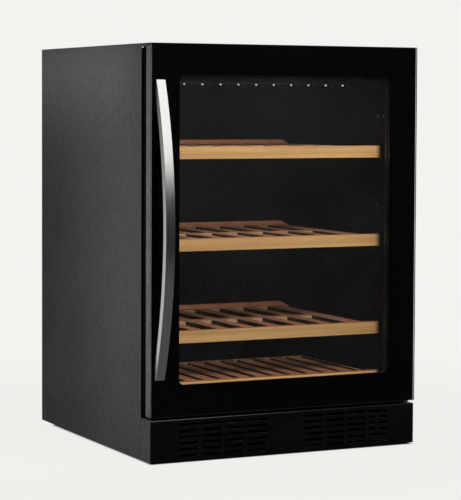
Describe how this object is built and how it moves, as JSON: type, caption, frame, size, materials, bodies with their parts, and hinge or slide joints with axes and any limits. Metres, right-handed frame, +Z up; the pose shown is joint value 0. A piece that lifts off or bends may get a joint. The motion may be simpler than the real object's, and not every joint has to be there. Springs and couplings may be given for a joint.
{
  "type": "wine cooler",
  "caption": "Black built-under wine cooler with a bow-handled glass door, wooden slatted shelves and a vented plinth.",
  "frame": {"origin": "on the floor under the middle of the bounding box", "axes": "+Z up, the door faces -Y, +X to the right of someone facing the door"},
  "size_m": [0.595, 0.6564, 0.82],
  "materials": {
    "painted_steel": "satin black paint",
    "zinc_steel": "dull zinc-plated sheet",
    "black_plastic": "moulded, fine grain",
    "liner_plastic": "moulded dark grey liner",
    "foam": "rigid foam",
    "lamp_strip": "clear lamp lenses",
    "aluminium": "mill finish fins",
    "copper": "drawn copper",
    "clear_glass": "smoked glass",
    "black_print": "gloss black print behind glass",
    "gasket_rubber": "soft black seal",
    "satin_steel": "brushed stainless steel",
    "beech_front": "clear-lacquered light wood",
    "beech_slats": "oiled wood"
  },
  "bodies": {
    "cabinet": {"left_side_panel": "painted_steel", "right_side_panel": "painted_steel", "top_panel": "painted_steel", "rear_panel": "painted_steel", "top_trim": "painted_steel", "plinth_grille": "painted_steel", "compressor": "painted_steel", "condenser": "painted_steel", "bottom_panel": "zinc_steel", "base_pan": "zinc_steel", "compressor_mount": "zinc_steel", "rear_cover": "zinc_steel", "upper_hinge": "zinc_steel", "lower_hinge": "zinc_steel", "front_frame": "black_plastic", "light_housing": "black_plastic", "evaporator_fan_motor": "black_plastic", "condenser_fan_shroud": "black_plastic", "drip_tray": "black_plastic", "control_box": "black_plastic", "power_inlet": "black_plastic", "shelf_1_left_rail": "black_plastic", "shelf_1_right_rail": "black_plastic", "shelf_2_left_rail": "black_plastic", "shelf_2_right_rail": "black_plastic", "shelf_3_left_rail": "black_plastic", "shelf_3_right_rail": "black_plastic", "inner_liner": "liner_plastic", "duct_cover": "liner_plastic", "insulation": "foam", "led_strip": "lamp_strip", "evaporator": "aluminium", "filter_dryer": "copper", "bottom_shelf_front_board": "beech_front", "bottom_shelf_rack": "beech_slats"},
    "door": {"outer_glass": "clear_glass", "glass_border": "black_print", "glass_spacer": "black_plastic", "inner_glass": "clear_glass", "door_frame": "painted_steel", "door_top_cap": "black_plastic", "door_bottom_cap": "black_plastic", "door_gasket": "gasket_rubber", "door_handle": "satin_steel"},
    "shelf_1": {"shelf_1_front_board": "beech_front", "shelf_1_rack": "beech_slats", "shelf_1_rear_board": "beech_slats"},
    "shelf_2": {"shelf_2_front_board": "beech_front", "shelf_2_rack": "beech_slats", "shelf_2_rear_board": "beech_slats"},
    "shelf_3": {"shelf_3_front_board": "beech_front", "shelf_3_rack": "beech_slats", "shelf_3_rear_board": "beech_slats"},
    "evaporator_fan": {"evaporator_fan": "black_plastic"},
    "condenser_fan": {"condenser_fan": "black_plastic"},
    "front_left_foot": {"front_left_foot": "black_plastic"},
    "front_right_foot": {"front_right_foot": "black_plastic"},
    "rear_left_foot": {"rear_left_foot": "black_plastic"},
    "rear_right_foot": {"rear_right_foot": "black_plastic"}
  },
  "joints": [
    {"name": "door_hinge", "type": "hinge", "parent": "cabinet", "child": "door", "pos_m": [0.2855, -0.25325, 0.4557], "axis": [0, 0, 1], "range_deg": [0, 105]},
    {"name": "shelf_1_slide", "type": "slide", "parent": "cabinet", "child": "shelf_1", "axis": [0, -1, 0], "range_m": [0, 0.1285]},
    {"name": "shelf_2_slide", "type": "slide", "parent": "cabinet", "child": "shelf_2", "axis": [0, -1, 0], "range_m": [0, 0.1285]},
    {"name": "shelf_3_slide", "type": "slide", "parent": "cabinet", "child": "shelf_3", "axis": [0, -1, 0], "range_m": [0, 0.1285]},
    {"name": "evaporator_fan_spin", "type": "hinge", "parent": "cabinet", "child": "evaporator_fan", "pos_m": [0, 0.25575, 0.293], "axis": [0, 1, 0], "continuous": true},
    {"name": "condenser_fan_spin", "type": "hinge", "parent": "cabinet", "child": "condenser_fan", "pos_m": [-0.1555, -0.13975, 0.0468], "axis": [0, 1, 0], "continuous": true},
    {"name": "front_left_foot_screw", "type": "slide", "parent": "cabinet", "child": "front_left_foot", "axis": [0, 0, -1], "range_m": [0, 0.05]},
    {"name": "front_right_foot_screw", "type": "slide", "parent": "cabinet", "child": "front_right_foot", "axis": [0, 0, -1], "range_m": [0, 0.05]},
    {"name": "rear_left_foot_screw", "type": "slide", "parent": "cabinet", "child": "rear_left_foot", "axis": [0, 0, -1], "range_m": [0, 0.05]},
    {"name": "rear_right_foot_screw", "type": "slide", "parent": "cabinet", "child": "rear_right_foot", "axis": [0, 0, -1], "range_m": [0, 0.05]}
  ],
  "couplings": [
    {"joint": "shelf_1_slide", "follows": "door_hinge", "m_per_rad": 0.07},
    {"joint": "shelf_2_slide", "follows": "door_hinge", "m_per_rad": 0.07},
    {"joint": "shelf_3_slide", "follows": "door_hinge", "m_per_rad": 0.07}
  ]
}
